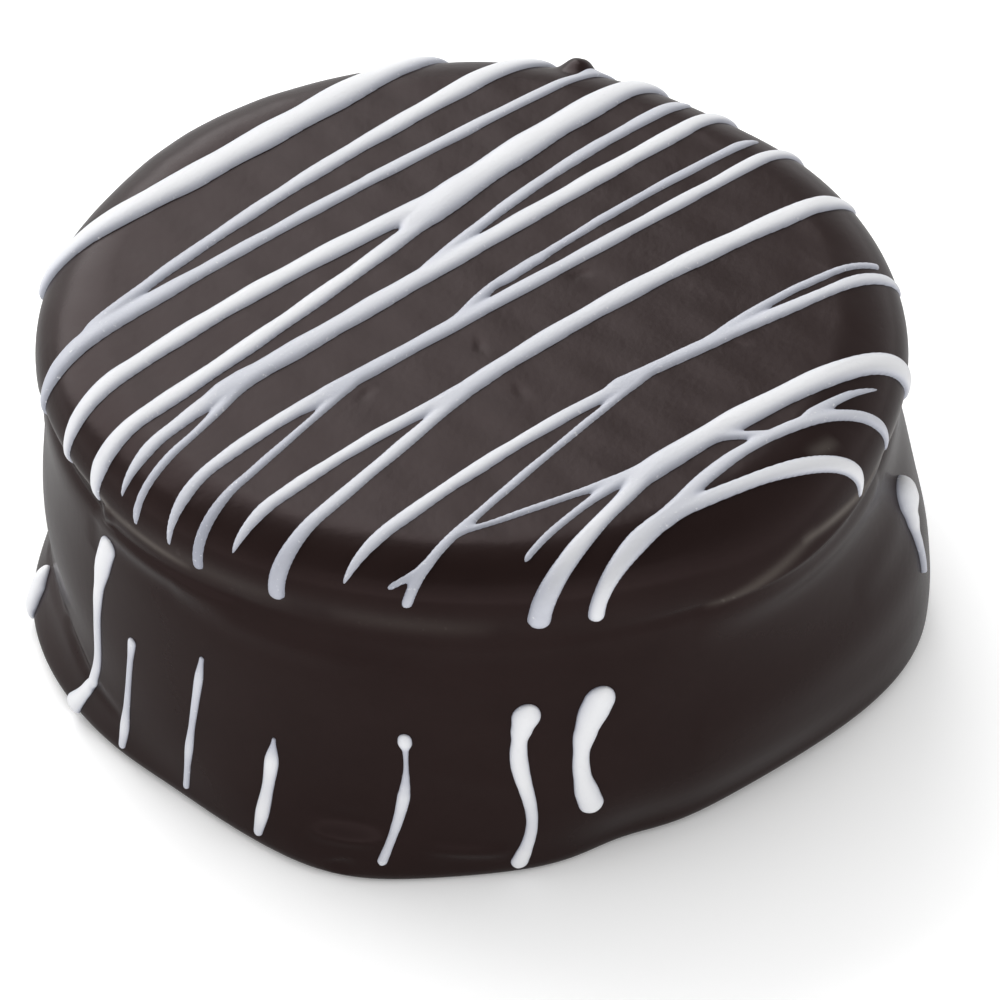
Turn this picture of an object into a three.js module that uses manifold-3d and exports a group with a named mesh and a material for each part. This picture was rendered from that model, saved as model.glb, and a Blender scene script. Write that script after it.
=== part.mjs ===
// A chocolate-coated alfajor with piped white icing, uncut and solid, in millimetres, +Z up.
// The coat is a turned form. The icing is piped on it as strands and drips and fused to it,
// and then one function settles every point, so that coat and icing are uneven together.

import * as THREE from 'three';
import { mergeVertices } from 'three/addons/utils/BufferGeometryUtils.js';
import Module from 'manifold-3d';

// Turned form: the upper biscuit's cap, the waist between the biscuits, the lower biscuit and its foot
const HEIGHT = 29.6;
const FLAT_RADIUS = 28.0;
const RIM_RADIUS = 33.7;
const RIM_HEIGHT = 25.2;
const WAIST_RADIUS = 32.7;
const WAIST_HEIGHT = 23.4;
const WALL_RADIUS = 33.5;
const WALL_TOP = 20.8;
const WALL_LOW_RADIUS = 33.7;
const WALL_BOTTOM = 4.5;
const FOOT_RADIUS = 33.7;
const FOOT_HEIGHT = 1.3;
const BASE_RADIUS = 32.9;
const SEAT_RADIUS = 15.0;
const STEADY_RADIUS = 20.0;
const SHOULDER_POWER = 0.95;
const ROUND_POWER = 1.0;
const TURN_STEPS = 60;
const ARC_STEPS = 4;
const SHOULDER_STEPS = 7;
const WALL_STEPS = 6;

// Settling: swells are pushes of the side, each at an angle and a height, with its spread in both
const SWELLS = [
  { at: 150, spread: 12, height: 26.5, tall: 4, out: -0.4 },
  { at: 52, spread: 13, height: 26.5, tall: 4, out: -0.7 },
  { at: 88, spread: 14, height: 26.5, tall: 4, out: 0.3 },
  { at: 255, spread: 32, height: 23.5, tall: 3, out: -0.9 },
  { at: 312, spread: 14, height: 23.5, tall: 3, out: 0.8 },
  { at: 356, spread: 22, height: 19.5, tall: 3.2, out: -0.6 },
  { at: 352, spread: 24, height: 3, tall: 11.5, out: 2.65 },
  { at: 188, spread: 22, height: 0.5, tall: 2.6, out: 1.2 },
  { at: 184, spread: 26, height: 19, tall: 4, out: -0.35 },
  { at: 190, spread: 22, height: 7, tall: 3.5, out: -0.6 },
  { at: 226, spread: 10, height: 1, tall: 4, out: -0.5 },
  { at: 253, spread: 12, height: 1, tall: 4, out: 1.4 },
  { at: 308, spread: 28, height: 0.5, tall: 4, out: -1.6 },
  { at: 291, spread: 7, height: 0.5, tall: 4, out: -0.8 },
  { at: 262, spread: 42, height: 23, tall: 1.3, out: 0.6 },
  { at: 62, spread: 20, height: 2.5, tall: 5, out: 0.8 },
  { at: 112, spread: 16, height: 11, tall: 6, out: -0.5 },
  { at: 138, spread: 14, height: 1.5, tall: 3.5, out: 0.9 },
];
const LIFT = 0.4;
const LIFT_ANGLE = 322;
const LIFT_SPREAD = 26;
const LIFT_TOP = 9.0;

// The base stands on three low spots, and its edge rises a little between them
const STANCE_SPOTS = 3;
const STANCE_ANGLE = 144;
const STANCE_RISE = 0.4;
const STANCE_DIP = 0.02;

// Piped beads: their rise above the coat and how far they sink into it
const PIPING_ANGLE = 40;
const BEAD_SIDES = 7;
const FINE_BEAD_SIDES = 6;
const FINE_WIDTH = 1.2;
const BEAD_RISE = 0.1;
const BEAD_RISE_PER_WIDTH = 0.2;
const BEAD_SINK = 0.35;
const BEAD_END = 0.5;
const STRAND_STEP = 6.0;
const DROP_STEPS = 4;
const CHORD_GAP = 0.3;
const SOLVE_ROUNDS = 12;
const DRIP_STEPS = 8;

// Strands, as plan lines in the piping direction. start and end are places along it on the top;
// startDrop and endDrop are the heights where a strand that runs over the rim stops.
// across is the line's place sideways at its two ends, bow its bend and wide its widths.
const STRANDS = [
  { startDrop: 26, endDrop: 25.2, across: [27.4, 25.8], bow: -0.4, wide: [2.7, 2.6, 2.3] },
  { startDrop: 26, end: -24.5, across: [21.2, 16.1], bow: 1.5, wide: [2.1, 1.6, 1.2, 0.9] },
  { startDrop: 26, endDrop: 24.4, across: [16.5, 14.8], bow: 0.9, wide: [0.8, 1.2, 1.2, 1.9] },
  { startDrop: 26, end: 4.2, across: [13, 10.5], bow: 0.6, wide: [2.1, 2.6, 2.9] },
  { start: 6, endDrop: 24.2, across: [11.3, 9.1], bow: 1.1, wide: [1.9, 1.7, 1.6] },
  { start: 5, endDrop: 24.1, across: [10.1, 4.4], bow: -0.4, wide: [1.4, 1.5, 1.6] },
  { startDrop: 28.4, end: 0, across: [8.8, 5.2], bow: 1.2, wide: [1.2, 1.1, 0.9] },
  { startDrop: 26, end: -21.5, across: [6.1, 3.4], bow: 0.15, wide: [1.5, 1.7, 1.9] },
  { start: -19.5, endDrop: 26.4, across: [3.9, 1.1], bow: 0.1, wide: [1.4, 1.2, 1.1] },
  { start: -19.5, endDrop: 25.2, across: [3.3, -0.8], bow: -0.4, wide: [0.8, 0.7, 0.7] },
  { startDrop: 28.8, end: 3.5, across: [1.2, 0.1], bow: 0.7, wide: [0.9, 0.8] },
  { start: 7, end: -3, across: [0.5, -1.5], bow: 0.6, wide: [0.8, 0.8] },
  { startDrop: 26, end: -15.5, across: [-0.9, -1.8], bow: 0, wide: [1.2, 1.3, 1.4] },
  { start: -14, endDrop: 25, across: [-1.9, -4.4], bow: 0.8, wide: [1.4, 1.2, 1] },
  { start: -14, endDrop: 24.8, across: [-2.3, -7.2], bow: 0, wide: [0.6, 0.7, 0.9] },
  { startDrop: 26.8, end: -9.5, across: [-8.7, -8.4], bow: 1.4, wide: [1.9, 1.8, 1.5] },
  { start: -8, endDrop: 27.1, across: [-8.1, -10], bow: 0.7, wide: [1.2, 1.1, 1.2] },
  { start: -8, endDrop: 24.8, across: [-8.5, -13.8], bow: 0, wide: [1, 1.1, 1.1, 1.3] },
  { startDrop: 28.4, end: 10.5, across: [-16.6, -15.7], bow: 1.1, wide: [0.6, 0.9] },
  { startDrop: 25.6, end: 2, across: [-17.7, -15.2], bow: 0.2, wide: [1.1, 1.2, 1.3] },
  { start: 3.5, endDrop: 27.2, across: [-15.5, -18.2], bow: 1, wide: [1.1, 1.2, 1.1] },
  { start: 3, endDrop: 26.5, across: [-15.9, -22.3], bow: 0.3, wide: [0.6, 0.7, 0.8] },
  { start: -22.3, end: -25.1, across: [-21.5, -20.8], bow: -0.1, wide: [0.5, 0.5] },
  { startDrop: 24, end: -3.5, across: [-25.5, -24.4], bow: 0.8, wide: [2, 2.2, 2.1] },
  { start: -3, end: -18.6, across: [-24, -20.8], bow: -0.1, wide: [0.8, 0.5] },
  { start: -4, end: -16.3, across: [-23.8, -25.8], bow: 0.4, wide: [0.9, 0.5] },
  { start: -2.5, endDrop: 24.6, across: [-24.3, -28.8], bow: 0, wide: [1.4, 1.3, 1.3, 1.6] },
  { start: 6.2, end: 3.4, across: [-26.6, -24.6], bow: 0, wide: [0.8, 0.8] },
  { startDrop: 27.6, end: 10.5, across: [-27.3, -27.1], bow: 0.3, wide: [0.5, 0.9] },
  { startDrop: 24.2, end: -5, across: [-29.5, -29], bow: 2.2, wide: [1, 1.1, 1.3] },
  { startDrop: 24, end: -5, across: [-31.7, -29.2], bow: 0.4, wide: [1.4, 1.3, 1.1] },
  { start: -4, endDrop: 24.6, across: [-28.9, -30.8], bow: 0.3, wide: [1.5, 1.6, 1.3] },
];

// Drips on the lower biscuit: angle and height at the top and the bottom, bow and sway in degrees,
// and widths spaced evenly from the top to the bottom
const DRIPS = [
  { angle: [183.5, 186], height: [4.4, 1.2], bow: -0.6, sway: 0, wide: [1.3, 1.9, 1.4] },
  { angle: [215.2, 205.2], height: [21.6, 1], bow: 1.4, sway: -1.2, wide: [1.9, 1.6, 0.9, 1, 1.4] },
  { angle: [220, 216.8], height: [13.8, 1.2], bow: 0, sway: 0, wide: [0.8, 0.6, 0.6, 1, 0.6] },
  { angle: [232.9, 229], height: [16.5, 1.6], bow: 0, sway: 0, wide: [0.5, 0.7, 0.6, 0.7, 0.5] },
  { angle: [243.8, 241.6], height: [11.4, 1.4], bow: 0.2, sway: 0, wide: [0.5, 1.1, 1.2, 0.8] },
  { angle: [261.4, 258.6], height: [14.5, 2], bow: 1.3, sway: 0, wide: [1, 0.6, 1, 0.8, 0.8] },
  { angle: [277.6, 275.9], height: [17.5, 0.9], bow: 0.2, sway: -1.3, wide: [2.4, 1.5, 1, 1.1, 1.5] },
  { angle: [287.4, 286.1], height: [18.2, 5.8], bow: -2.3, sway: 0, wide: [2.4, 2.2, 1.4, 1.5, 2] },
  { angle: [347.4, 347.6], height: [17.8, 8.6], bow: 0, sway: 0, wide: [2.4, 2.3, 0.9, 0.6] },
  { angle: [18, 21], height: [20.5, 8], bow: 0.8, sway: 0, wide: [1.6, 1, 0.7] },
  { angle: [37, 39.5], height: [15, 3], bow: 0, sway: 0.8, wide: [0.7, 1.1, 0.8] },
  { angle: [52, 54], height: [18, 6.5], bow: -0.8, sway: 0, wide: [1.9, 1.2, 1.5] },
  { angle: [73, 75], height: [13, 1.8], bow: 0.5, sway: 0, wide: [0.6, 0.9, 0.6] },
];

// A small lump of chocolate on the rim
const LUMP_RADIUS = 1.2;
const LUMP_ANGLE = 74.5;
const LUMP_OUT = 31.7;
const LUMP_HEIGHT = 28.4;
const LUMP_SIDES = 10;
const LUMP_BANDS = 6;

const RADIANS = Math.PI / 180;

function lerp(a, b, t) {
  return a + (b - a) * t;
}

function limit(value) {
  return Math.min(1, Math.max(0, value));
}

// Adds one elliptical or fuller quarter round to a profile
function quarter(points, centre, reach, fromDegrees, toDegrees, steps, power) {
  for (let i = 1; i <= steps; i += 1) {
    const angle = lerp(fromDegrees, toDegrees, i / steps) * RADIANS;
    const out = Math.sign(Math.cos(angle)) * Math.abs(Math.cos(angle)) ** power;
    const up = Math.sign(Math.sin(angle)) * Math.abs(Math.sin(angle)) ** power;
    points.push(new THREE.Vector2(centre[0] + reach[0] * out, centre[1] + reach[1] * up));
  }
}

// Half section from the middle of the base, up the side, to the middle of the top
function halfSection() {
  const points = [new THREE.Vector2(0, 0)];
  points.push(new THREE.Vector2(SEAT_RADIUS, 0));
  points.push(new THREE.Vector2(BASE_RADIUS, 0));
  const foot = [FOOT_RADIUS - BASE_RADIUS, FOOT_HEIGHT];
  quarter(points, [BASE_RADIUS, FOOT_HEIGHT], foot, -90, 0, ARC_STEPS, ROUND_POWER);
  for (let i = 0; i <= WALL_STEPS; i += 1) {
    const t = i / WALL_STEPS;
    points.push(new THREE.Vector2(lerp(WALL_LOW_RADIUS, WALL_RADIUS, t), lerp(WALL_BOTTOM, WALL_TOP, t)));
  }
  const ledge = [WALL_RADIUS - WAIST_RADIUS, WAIST_HEIGHT - WALL_TOP];
  quarter(points, [WAIST_RADIUS, WALL_TOP], ledge, 0, 90, ARC_STEPS, ROUND_POWER);
  const tuck = [RIM_RADIUS - WAIST_RADIUS, RIM_HEIGHT - WAIST_HEIGHT];
  quarter(points, [WAIST_RADIUS, RIM_HEIGHT], tuck, -90, 0, ARC_STEPS, ROUND_POWER);
  const shoulder = [RIM_RADIUS - FLAT_RADIUS, HEIGHT - RIM_HEIGHT];
  quarter(points, [FLAT_RADIUS, RIM_HEIGHT], shoulder, 0, 90, SHOULDER_STEPS, SHOULDER_POWER);
  points.push(new THREE.Vector2(STEADY_RADIUS, HEIGHT));
  points.push(new THREE.Vector2(0, HEIGHT));
  return points;
}

function rimLump() {
  const lump = new THREE.SphereGeometry(LUMP_RADIUS, LUMP_SIDES, LUMP_BANDS);
  const angle = LUMP_ANGLE * RADIANS;
  lump.translate(LUMP_OUT * Math.cos(angle), LUMP_OUT * Math.sin(angle), LUMP_HEIGHT);
  return lump;
}

function turnedCoat() {
  const coat = new THREE.LatheGeometry(halfSection(), TURN_STEPS);
  coat.rotateX(Math.PI / 2);
  return coat;
}

// One place on a bead's line: a point on the turned form and the coat's tilt from level there
function place(radius, angle, height, tilt) {
  const outward = new THREE.Vector3(Math.cos(angle), Math.sin(angle), 0);
  const point = outward.clone().multiplyScalar(radius);
  point.z = height;
  const normal = outward.multiplyScalar(Math.sin(tilt));
  normal.z = Math.cos(tilt);
  return { point, normal };
}

// A strand's plan line, and the place along it where it crosses a circle of the turned form
function acrossAt(strand, ends, along) {
  const t = (along - ends[0]) / (ends[1] - ends[0]);
  return lerp(strand.across[0], strand.across[1], t) + strand.bow * 4 * t * (1 - t);
}

function alongAt(strand, ends, radius, side) {
  let along = side * radius;
  for (let i = 0; i < SOLVE_ROUNDS; i += 1) {
    const across = acrossAt(strand, ends, along);
    along = side * Math.sqrt(Math.max(0, radius * radius - across * across));
  }
  return along;
}

// The cap's round at a radius: 0 at the edge of its flat top, a right angle at the rim
function capTurn(radius) {
  const share = limit((radius - FLAT_RADIUS) / (RIM_RADIUS - FLAT_RADIUS));
  return Math.asin(share ** (1 / SHOULDER_POWER));
}

function capHeight(turn) {
  return lerp(RIM_HEIGHT, HEIGHT, Math.cos(turn) ** SHOULDER_POWER);
}

function onCap(strand, ends, along) {
  const across = acrossAt(strand, ends, along);
  const radius = Math.hypot(along, across);
  const turn = capTurn(radius);
  return place(radius, Math.atan2(across, along) + PIPING_ANGLE * RADIANS, capHeight(turn), turn);
}

// The places of a strand that runs over the rim, from the cap's top down to where it stops
function dropPlaces(strand, ends, side, inner, stop) {
  const share = limit((stop - RIM_HEIGHT) / (HEIGHT - RIM_HEIGHT));
  const first = capTurn(inner);
  const last = Math.acos(share ** (1 / SHOULDER_POWER));
  const places = [];
  for (let i = 1; i <= DROP_STEPS; i += 1) {
    const turn = lerp(first, last, i / DROP_STEPS);
    const radius = lerp(FLAT_RADIUS, RIM_RADIUS, Math.sin(turn) ** SHOULDER_POWER);
    const along = alongAt(strand, ends, radius, side);
    const angle = Math.atan2(acrossAt(strand, ends, along), along) + PIPING_ANGLE * RADIANS;
    places.push(place(radius, angle, capHeight(turn), turn));
  }
  if (stop < RIM_HEIGHT) {
    const hang = places[places.length - 1];
    const tip = { point: hang.point.clone(), normal: hang.normal };
    tip.point.z = stop;
    places.push(tip);
  }
  return places;
}

function strandPlaces(strand) {
  const rim = strand.across.map((across) => Math.sqrt(RIM_RADIUS ** 2 - across ** 2));
  const endTip = Math.hypot(strand.end ?? 0, strand.across[1]);
  const startTip = Math.hypot(strand.start ?? 0, strand.across[0]);
  const startReach = Math.max(Math.abs(strand.across[0]), endTip);
  const endReach = Math.max(Math.abs(strand.across[1]), startTip);
  const inner = [startReach, endReach].map((reach) => Math.max(FLAT_RADIUS, reach + CHORD_GAP));
  const ends = [strand.start ?? rim[0], strand.end ?? -rim[1]];
  const first = strand.start ?? alongAt(strand, ends, inner[0], 1);
  const last = strand.end ?? alongAt(strand, ends, inner[1], -1);
  const steps = Math.max(2, Math.round((first - last) / STRAND_STEP));
  const places = [];
  if (strand.startDrop) {
    places.push(...dropPlaces(strand, ends, 1, inner[0], strand.startDrop).reverse());
  }
  for (let i = 0; i <= steps; i += 1) {
    places.push(onCap(strand, ends, lerp(first, last, i / steps)));
  }
  if (strand.endDrop) {
    places.push(...dropPlaces(strand, ends, -1, inner[1], strand.endDrop));
  }
  return places;
}

function wallRadius(height) {
  if (height > WALL_TOP) {
    const rise = limit((height - WALL_TOP) / (WAIST_HEIGHT - WALL_TOP));
    return lerp(WAIST_RADIUS, WALL_RADIUS, Math.sqrt(1 - rise * rise));
  }
  return lerp(WALL_LOW_RADIUS, WALL_RADIUS, limit((height - WALL_BOTTOM) / (WALL_TOP - WALL_BOTTOM)));
}

function dripPlaces(drip) {
  const places = [];
  for (let i = 0; i <= DRIP_STEPS; i += 1) {
    const t = (1 - Math.cos((Math.PI * i) / DRIP_STEPS)) / 2;
    const bend = drip.bow * Math.sin(Math.PI * t) + drip.sway * Math.sin(2 * Math.PI * t);
    const angle = (lerp(drip.angle[0], drip.angle[1], t) + bend) * RADIANS;
    const height = lerp(drip.height[0], drip.height[1], t);
    places.push({ ...place(wallRadius(height), angle, height, Math.PI / 2), share: t });
  }
  return places;
}

function widthAt(widths, t) {
  const span = t * (widths.length - 1);
  const index = Math.min(widths.length - 2, Math.floor(span));
  return lerp(widths[index], widths[index + 1], span - index);
}

// A bead of icing: a cylinder whose rings are carried to the places of its line, with a
// rounded back above the coat, a flatter underside sunk into it and narrowed ends
function bead(places, widths) {
  const rings = places.length - 1;
  const sides = Math.max(...widths) < FINE_WIDTH ? FINE_BEAD_SIDES : BEAD_SIDES;
  const geometry = new THREE.CylinderGeometry(1, 1, 1, sides, rings);
  const position = geometry.attributes.position;
  const vertex = new THREE.Vector3();
  for (let i = 0; i < position.count; i += 1) {
    vertex.fromBufferAttribute(position, i);
    const ring = Math.round((0.5 - vertex.y) * rings);
    const { point, normal, share = ring / rings } = places[ring];
    const before = places[Math.max(0, ring - 1)].point;
    const after = places[Math.min(rings, ring + 1)].point;
    const forward = after.clone().sub(before).normalize();
    const sideways = normal.clone().cross(forward).normalize();
    const narrow = ring === 0 || ring === rings ? BEAD_END : 1;
    const width = widthAt(widths, share) * narrow;
    const rise = (BEAD_RISE + BEAD_RISE_PER_WIDTH * width) * Math.max(0, vertex.z);
    const sink = BEAD_SINK * Math.min(0, vertex.z);
    const moved = point.clone().addScaledVector(sideways, (vertex.x * width) / 2);
    moved.addScaledVector(normal, rise + sink);
    position.setXYZ(i, moved.x, moved.y, moved.z);
  }
  return geometry;
}

// Merges a closed geometry's shared vertices, drops what collapses and makes a solid of it
function solid(wasm, geometry) {
  const bare = geometry.clone();
  bare.deleteAttribute('normal');
  bare.deleteAttribute('uv');
  const merged = mergeVertices(bare);
  const triangles = [];
  for (let i = 0; i < merged.index.count; i += 3) {
    const [a, b, c] = [0, 1, 2].map((corner) => merged.index.getX(i + corner));
    if (a !== b && b !== c && c !== a) {
      triangles.push(a, b, c);
    }
  }
  const vertProperties = new Float32Array(merged.attributes.position.array);
  const triVerts = new Uint32Array(triangles);
  return new wasm.Manifold(new wasm.Mesh({ numProp: 3, vertProperties, triVerts }));
}

// How near an angle is to another, from 1 down to 0 with a soft spread, in degrees
function nearness(angle, at, spread) {
  const apart = ((((angle - at) % 360) + 540) % 360) - 180;
  return Math.exp(-((apart / spread) ** 2));
}

// Settles one point of the turned form: pushes the side in and out, and lifts part of the foot
function settle(point) {
  const angle = Math.atan2(point.y, point.x) / RADIANS;
  const radius = Math.hypot(point.x, point.y);
  let out = 0;
  for (const swell of SWELLS) {
    const level = (point.z - swell.height) / swell.tall;
    out += swell.out * nearness(angle, swell.at, swell.spread) * Math.exp(-level * level);
  }
  out *= limit((radius - STEADY_RADIUS) / (FLAT_RADIUS - STEADY_RADIUS));
  const lifted = limit((radius - SEAT_RADIUS) / (BASE_RADIUS - SEAT_RADIUS)) * limit(1 - point.z / LIFT_TOP);
  const between = (1 - Math.cos(STANCE_SPOTS * (angle - STANCE_ANGLE) * RADIANS)) / 2;
  const stance = STANCE_RISE * between - STANCE_DIP;
  const lift = (LIFT * nearness(angle, LIFT_ANGLE, LIFT_SPREAD) + stance) * lifted;
  const scale = radius > 0 ? (radius + out) / radius : 1;
  return new THREE.Vector3(point.x * scale, point.y * scale, point.z + lift);
}

function settled(mesh) {
  const vertices = [];
  for (let i = 0; i < mesh.vertProperties.length; i += mesh.numProp) {
    const point = settle(new THREE.Vector3(...mesh.vertProperties.slice(i, i + 3)));
    vertices.push(point.x, point.y, point.z);
  }
  const geometry = new THREE.BufferGeometry();
  geometry.setAttribute('position', new THREE.Float32BufferAttribute(vertices, 3));
  geometry.setIndex([...mesh.triVerts]);
  return geometry;
}

// Stands the piece with the middle of its base box at the origin
function stand(geometry) {
  geometry.computeBoundingBox();
  const { min, max } = geometry.boundingBox;
  geometry.translate(-(min.x + max.x) / 2, -(min.y + max.y) / 2, -min.z);
  geometry.computeVertexNormals();
  return geometry;
}

const wasm = await Module();
wasm.setup();

let fused = solid(wasm, turnedCoat()).add(solid(wasm, rimLump()));
for (const strand of STRANDS) {
  fused = fused.add(solid(wasm, bead(strandPlaces(strand), strand.wide)));
}
for (const drip of DRIPS) {
  fused = fused.add(solid(wasm, bead(dripPlaces(drip), drip.wide)));
}

const chocolate = new THREE.MeshStandardMaterial({ color: 0x2e2422, roughness: 0.35, metalness: 0 });
const alfajor = new THREE.Mesh(stand(settled(fused.getMesh())), chocolate);
alfajor.name = 'alfajor';

const part = new THREE.Group();
part.add(alfajor);

export default part;
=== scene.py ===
# %% [markdown]
# # A chocolate-coated alfajor with piped white icing
#
# An alfajor is two round biscuits with a filling, dipped in chocolate. This one is uncut, so all that
# shows is the coat and the icing that was piped over it. The CAD model is one solid with both fused
# together, which can have only one colour. Here the same form is worked out again on fine grids, as a
# coat and as separate runs of icing, so that each gets its own surface and finish.

import bpy
import numpy as np
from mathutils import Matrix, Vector


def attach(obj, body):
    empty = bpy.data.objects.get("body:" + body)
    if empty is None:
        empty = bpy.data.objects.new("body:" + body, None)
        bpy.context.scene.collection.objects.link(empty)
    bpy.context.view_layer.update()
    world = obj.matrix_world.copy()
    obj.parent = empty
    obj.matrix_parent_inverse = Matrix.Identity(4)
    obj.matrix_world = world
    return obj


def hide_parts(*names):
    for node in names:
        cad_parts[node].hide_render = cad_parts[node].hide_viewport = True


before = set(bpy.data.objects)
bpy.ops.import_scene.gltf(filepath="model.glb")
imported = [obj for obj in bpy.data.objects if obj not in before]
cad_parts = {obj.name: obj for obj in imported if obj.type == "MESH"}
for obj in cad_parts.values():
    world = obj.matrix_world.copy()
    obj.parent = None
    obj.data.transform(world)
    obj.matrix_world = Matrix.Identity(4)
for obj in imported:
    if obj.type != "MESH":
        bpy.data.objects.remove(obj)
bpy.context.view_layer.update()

# %% [markdown]
# ## The turned form
#
# Under its unevenness the alfajor is round, so it starts as a half section that is turned about the
# upright axis: a flat top, a rounded shoulder, a waist where the two biscuits meet, a straight wall and
# a small foot. A lathe tool or a Screw modifier could turn it. A formula is better here, because the
# icing needs to know the coat's place and slope at any point. Lengths are millimetres until a mesh is made.

# %% Sizes of the half section
MM = 0.001
HEIGHT = 29.6
FLAT_RADIUS = 28.0
RIM_RADIUS = 33.7
RIM_HEIGHT = 25.2
WAIST_RADIUS = 32.7
WAIST_HEIGHT = 23.4
WALL_RADIUS = 33.5
WALL_TOP = 20.8
WALL_LOW_RADIUS = 33.7
WALL_BOTTOM = 4.5
FOOT_RADIUS = 33.7
FOOT_HEIGHT = 1.3
BASE_RADIUS = 32.9
SEAT_RADIUS = 15.0
STEADY_RADIUS = 20.0
SHOULDER_POWER = 0.95
SECTION_STEP = 0.02


def quarter(centre, reach, from_degrees, to_degrees, power=1.0, steps=160):
    """A quarter round: the centre plus the reach times an angle's cosine and sine, raised to a power."""
    angle = np.radians(np.linspace(from_degrees, to_degrees, steps))
    out = np.sign(np.cos(angle)) * np.abs(np.cos(angle)) ** power
    up = np.sign(np.sin(angle)) * np.abs(np.sin(angle)) ** power
    return np.column_stack([centre[0] + reach[0] * out, centre[1] + reach[1] * up])


def half_section():
    """Radius and height from the middle of the top, down the side, to the middle of the base."""
    shoulder = (RIM_RADIUS - FLAT_RADIUS, HEIGHT - RIM_HEIGHT)
    tuck = (RIM_RADIUS - WAIST_RADIUS, RIM_HEIGHT - WAIST_HEIGHT)
    ledge = (WALL_RADIUS - WAIST_RADIUS, WAIST_HEIGHT - WALL_TOP)
    foot = (FOOT_RADIUS - BASE_RADIUS, FOOT_HEIGHT)
    corners = np.vstack([
        [(0.0, HEIGHT)],
        quarter((FLAT_RADIUS, RIM_HEIGHT), shoulder, 90, 0, SHOULDER_POWER),
        quarter((WAIST_RADIUS, RIM_HEIGHT), tuck, 0, -90),
        quarter((WAIST_RADIUS, WALL_TOP), ledge, 90, 0),
        [(WALL_LOW_RADIUS, WALL_BOTTOM)],
        quarter((BASE_RADIUS, FOOT_HEIGHT), foot, 0, -90),
        [(0.0, 0.0)],
    ])
    length = np.concatenate([[0.0], np.cumsum(np.hypot(*np.diff(corners, axis=0).T))])
    way = np.arange(0.0, length[-1], SECTION_STEP)
    return way, np.interp(way, length, corners[:, 0]), np.interp(way, length, corners[:, 1])


WAY, SECTION_RADIUS, SECTION_HEIGHT = half_section()
RIM_WAY = WAY[np.argmax(SECTION_RADIUS * (SECTION_HEIGHT > WAIST_HEIGHT))]
WAIST_WAY = WAY[np.argmin(np.abs(SECTION_HEIGHT - WAIST_HEIGHT))]
BASE_WAY = WAY[-1] - BASE_RADIUS
print(f"half section: {WAY[-1]:.1f} mm long, rim at {RIM_WAY:.1f} and waist at {WAIST_WAY:.1f}")

# %% [markdown]
# ## A waist that the coat fills
#
# Melted chocolate runs into the crease between the biscuits. In front it fills it to a soft dip, and at
# the sides it stays a sharp line. Blurring the half section along its length gives the filled shape,
# and the angle decides how much of the sharp and of the blurred section is used.

# %% Soft section
CRISP_BLUR = 0.4
SOFT_BLUR = 1.0
SOFT_ANGLE = 268.0
SOFT_SPREAD = 46.0
WAIST_REACH = 4.5
WAIST_POWER = 4
BLUR_REACH = 4.0


def blurred(values, spread):
    """A running mean weighted by a bell curve, used only near the waist."""
    offsets = np.arange(-BLUR_REACH * spread, BLUR_REACH * spread + SECTION_STEP, SECTION_STEP)
    weights = np.exp(-0.5 * (offsets / spread) ** 2)
    mean = np.convolve(np.pad(values, len(offsets) // 2, mode="edge"), weights / weights.sum(), "same")
    mean = mean[len(offsets) // 2 : len(offsets) // 2 + len(values)]
    near_waist = np.exp(-(((WAY - WAIST_WAY) / WAIST_REACH) ** WAIST_POWER))
    return values + (mean - values) * near_waist


CRISP_RADIUS = blurred(SECTION_RADIUS, CRISP_BLUR)
CRISP_HEIGHT = blurred(SECTION_HEIGHT, CRISP_BLUR)
SOFT_RADIUS = blurred(SECTION_RADIUS, SOFT_BLUR)
SOFT_HEIGHT = blurred(SECTION_HEIGHT, SOFT_BLUR)


def nearness(angle, at, spread):
    """1 at an angle, falling to 0 on both sides as a bell curve; all in degrees."""
    apart = (angle - at + 180.0) % 360.0 - 180.0
    return np.exp(-((apart / spread) ** 2))


def on_section(way, angle):
    """Radius and height of the turned form at a way along the half section and an angle."""
    soft = nearness(angle, SOFT_ANGLE, SOFT_SPREAD)
    radius = np.interp(way, WAY, CRISP_RADIUS) * (1 - soft) + np.interp(way, WAY, SOFT_RADIUS) * soft
    height = np.interp(way, WAY, CRISP_HEIGHT) * (1 - soft) + np.interp(way, WAY, SOFT_HEIGHT) * soft
    return radius, height


print(f"waist depth, crisp {RIM_RADIUS - CRISP_RADIUS[np.argmin(np.abs(WAY - WAIST_WAY))]:.2f} mm,",
      f"soft {RIM_RADIUS - SOFT_RADIUS[np.argmin(np.abs(WAY - WAIST_WAY))]:.2f} mm")

# %% [markdown]
# ## Settling
#
# No dipped biscuit is truly round. Each swell pushes the side in or out around one angle and height,
# and one part of the foot is lifted off the ground. The CAD solid is settled by the same values, so the
# two agree. Coat and icing are both placed through the same function, which keeps them together.

# %% Swells: angle, spread in degrees, height, tallness and push in millimetres
SWELLS = np.array([
    (150, 12, 26.5, 4, -0.4),
    (52, 13, 26.5, 4, -0.7),
    (88, 14, 26.5, 4, 0.3),
    (255, 32, 23.5, 3, -0.9),
    (312, 14, 23.5, 3, 0.8),
    (356, 22, 19.5, 3.2, -0.6),
    (352, 24, 3, 11.5, 2.65),
    (188, 22, 0.5, 2.6, 1.2),
    (184, 26, 19, 4, -0.35),
    (190, 22, 7, 3.5, -0.6),
    (226, 10, 1, 4, -0.5),
    (253, 12, 1, 4, 1.4),
    (308, 28, 0.5, 4, -1.6),
    (291, 7, 0.5, 4, -0.8),
    (262, 42, 23, 1.3, 0.6),
    (62, 20, 2.5, 5, 0.8),
    (112, 16, 11, 6, -0.5),
    (138, 14, 1.5, 3.5, 0.9),
])
LIFT = 0.4
LIFT_ANGLE = 322.0
LIFT_SPREAD = 26.0
LIFT_TOP = 9.0
STANCE_SPOTS = 3
STANCE_ANGLE = 144.0
STANCE_RISE = 0.4
STANCE_DIP = 0.02
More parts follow.
